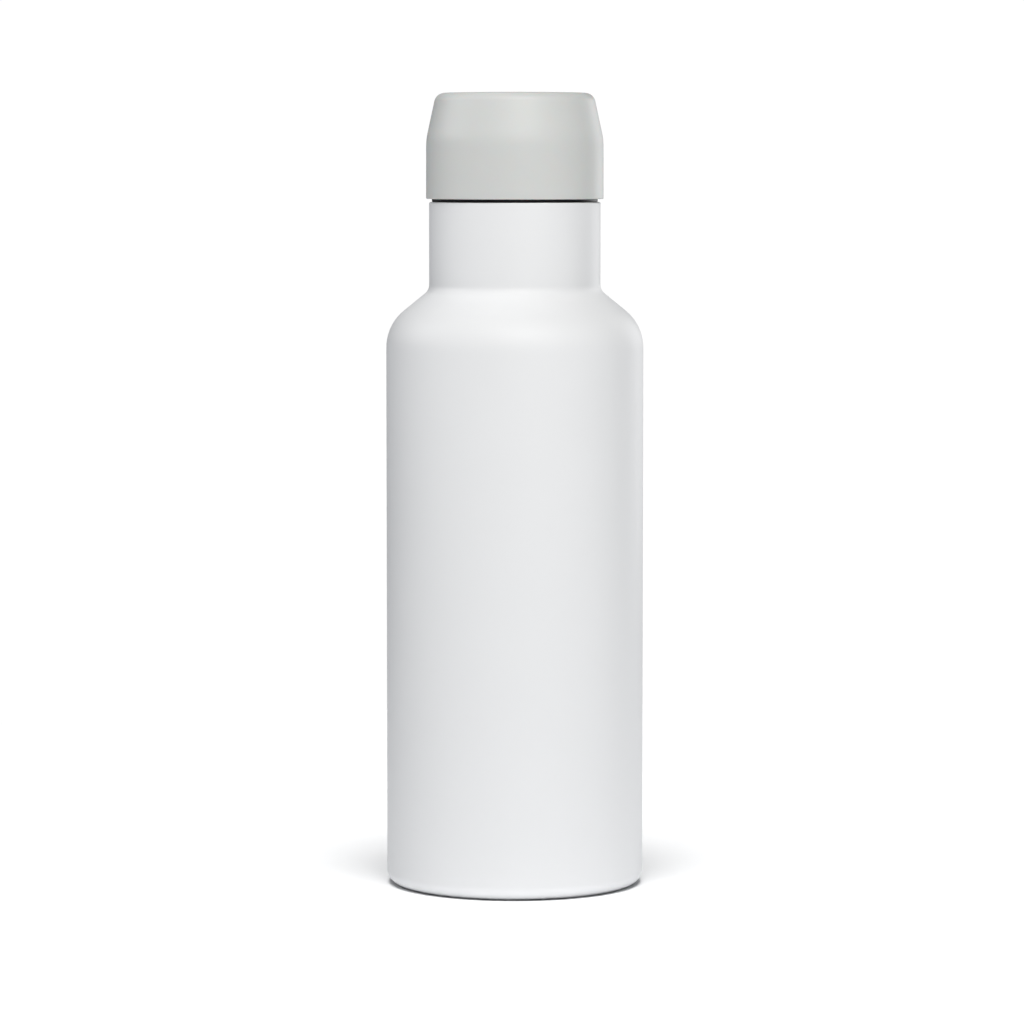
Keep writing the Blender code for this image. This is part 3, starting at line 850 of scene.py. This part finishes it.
crown_block = turned("crown_foam_block", [(rounded([
    (0.0, dome_low.z, 0.0),
    (dome_high.x, dome_low.z, 0.001),
    (dome_high.x, knee_height, 0.002),
    (dome_top_radius, dome_high.z, 0.002),
    (0.0, dome_high.z, 0.0),
]), bead_foam)], segments=160)
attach(crown_block, "cap")
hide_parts("crown_foam")

# ------------------------------------------------------------------------------------------
# STUDIO
# A round white table, lit evenly from nearly overhead, so that it only darkens close round the
# bottle's foot. A large soft box high in front, a small one at the left and a strip behind on
# the right light the bottle, and the white room is seen only behind it.
# ------------------------------------------------------------------------------------------
table_radius = 0.4
table_white, tree, shader = surface("table_white", Roughness=0.9, Specular_IOR_Level=0.1)
place = add(tree, "ShaderNodeTexCoord").outputs["Object"]
paper = add(tree, "ShaderNodeTexNoise", {"Vector": place, "Scale": 300.0, "Detail": 2.0})
paper_white = add(tree, "ShaderNodeMix", {
    0: paper.outputs["Fac"], 6: linear("f4f4f4"), 7: linear("f6f6f6")}, data_type="RGBA")
tree.links.new(paper_white.outputs[2], shader.inputs["Base Color"])
table_mesh = bpy.data.meshes.new("table")
bm = bmesh.new()
bmesh.ops.create_circle(bm, cap_ends=True, segments=96, radius=table_radius)
bm.to_mesh(table_mesh)
bm.free()
table_mesh.materials.append(table_white)
table = bpy.data.objects.new("table", table_mesh)
bpy.context.collection.objects.link(table)

wash_on_table = 3.5
wash_rise = math.radians(76)
wash_light = bpy.data.lights.new("table_wash", "SUN")
wash_light.energy = wash_on_table / math.sin(wash_rise)
wash_light.angle = math.radians(30)
table_wash = bpy.data.objects.new("table_wash", wash_light)
table_wash.rotation_euler = (math.pi / 2 - wash_rise, 0.0, 0.0)
bpy.context.collection.objects.link(table_wash)
washed = bpy.data.collections.new("washed")
washed.objects.link(table)
table_wash.light_linking.receiver_collection = washed

unlit = bpy.data.collections.new("unlit")
unlit.objects.link(table)
unlit.collection_objects[0].light_linking.link_state = "EXCLUDE"


def soft_box(name, azimuth, elevation, distance, aim, width, height, watts, grid, colour):
    """A soft box aimed at a height on the bottle's axis; azimuth 0 is in front, positive right.

    The grid is the angle, in degrees, that the box's honeycomb lets its light spread over."""
    side, rise = math.radians(azimuth), math.radians(elevation)
    level = Vector((math.sin(side), -math.cos(side), 0.0)) * math.cos(rise)
    away = level + Vector((0.0, 0.0, math.sin(rise)))
    light = bpy.data.lights.new(name, "AREA")
    light.shape = "RECTANGLE"
    light.size = width
    light.size_y = height
    light.energy = watts
    light.spread = math.radians(grid)
    light.color = colour
    box = bpy.data.objects.new(name, light)
    box.location = Vector((0.0, 0.0, aim)) + away * distance
    box.rotation_euler = away.to_track_quat("Z", "Y").to_euler()
    box.light_linking.receiver_collection = unlit
    bpy.context.collection.objects.link(box)


soft_box("key_box", azimuth=12, elevation=40, distance=0.7, aim=0.2,
         width=0.5, height=0.4, watts=0.68, grid=50, colour=(1.0, 0.99, 0.965))
soft_box("left_box", azimuth=-95, elevation=25, distance=0.5, aim=0.21,
         width=0.2, height=0.2, watts=0.06, grid=40, colour=(1.0, 1.0, 1.0))
soft_box("right_box", azimuth=140, elevation=5, distance=0.5, aim=0.16,
         width=0.15, height=0.3, watts=0.12, grid=70, colour=(1.0, 1.0, 1.0))

studio = bpy.data.worlds.new("studio")
studio.use_nodes = True
tree = studio.node_tree
tree.nodes.clear()
seen = add(tree, "ShaderNodeBackground", {"Color": (1.0, 1.0, 1.0, 1.0), "Strength": 1.02})
cast = add(tree, "ShaderNodeBackground", {"Color": (0.9, 0.95, 1.0, 1.0), "Strength": 0.11})
ray = add(tree, "ShaderNodeLightPath")
shown = add(tree, "ShaderNodeMixShader", {
    0: ray.outputs["Is Camera Ray"], 1: cast.outputs[0], 2: seen.outputs[0]})
add(tree, "ShaderNodeOutputWorld", {"Surface": shown.outputs[0]})
bpy.context.scene.world = studio
bpy.context.scene.view_settings.view_transform = "Standard"

camera_data = bpy.data.cameras.new("camera")
camera_data.sensor_width = 36.0
camera_data.lens = 156.2
camera = bpy.data.objects.new("camera", camera_data)
camera.location = (-0.0008, -1.262, 0.2057)
camera_aim = Vector((-0.0008, 0.0, 0.1061))
camera.rotation_euler = (camera_aim - camera.location).to_track_quat("-Z", "Y").to_euler()
bpy.context.collection.objects.link(camera)
bpy.context.scene.camera = camera
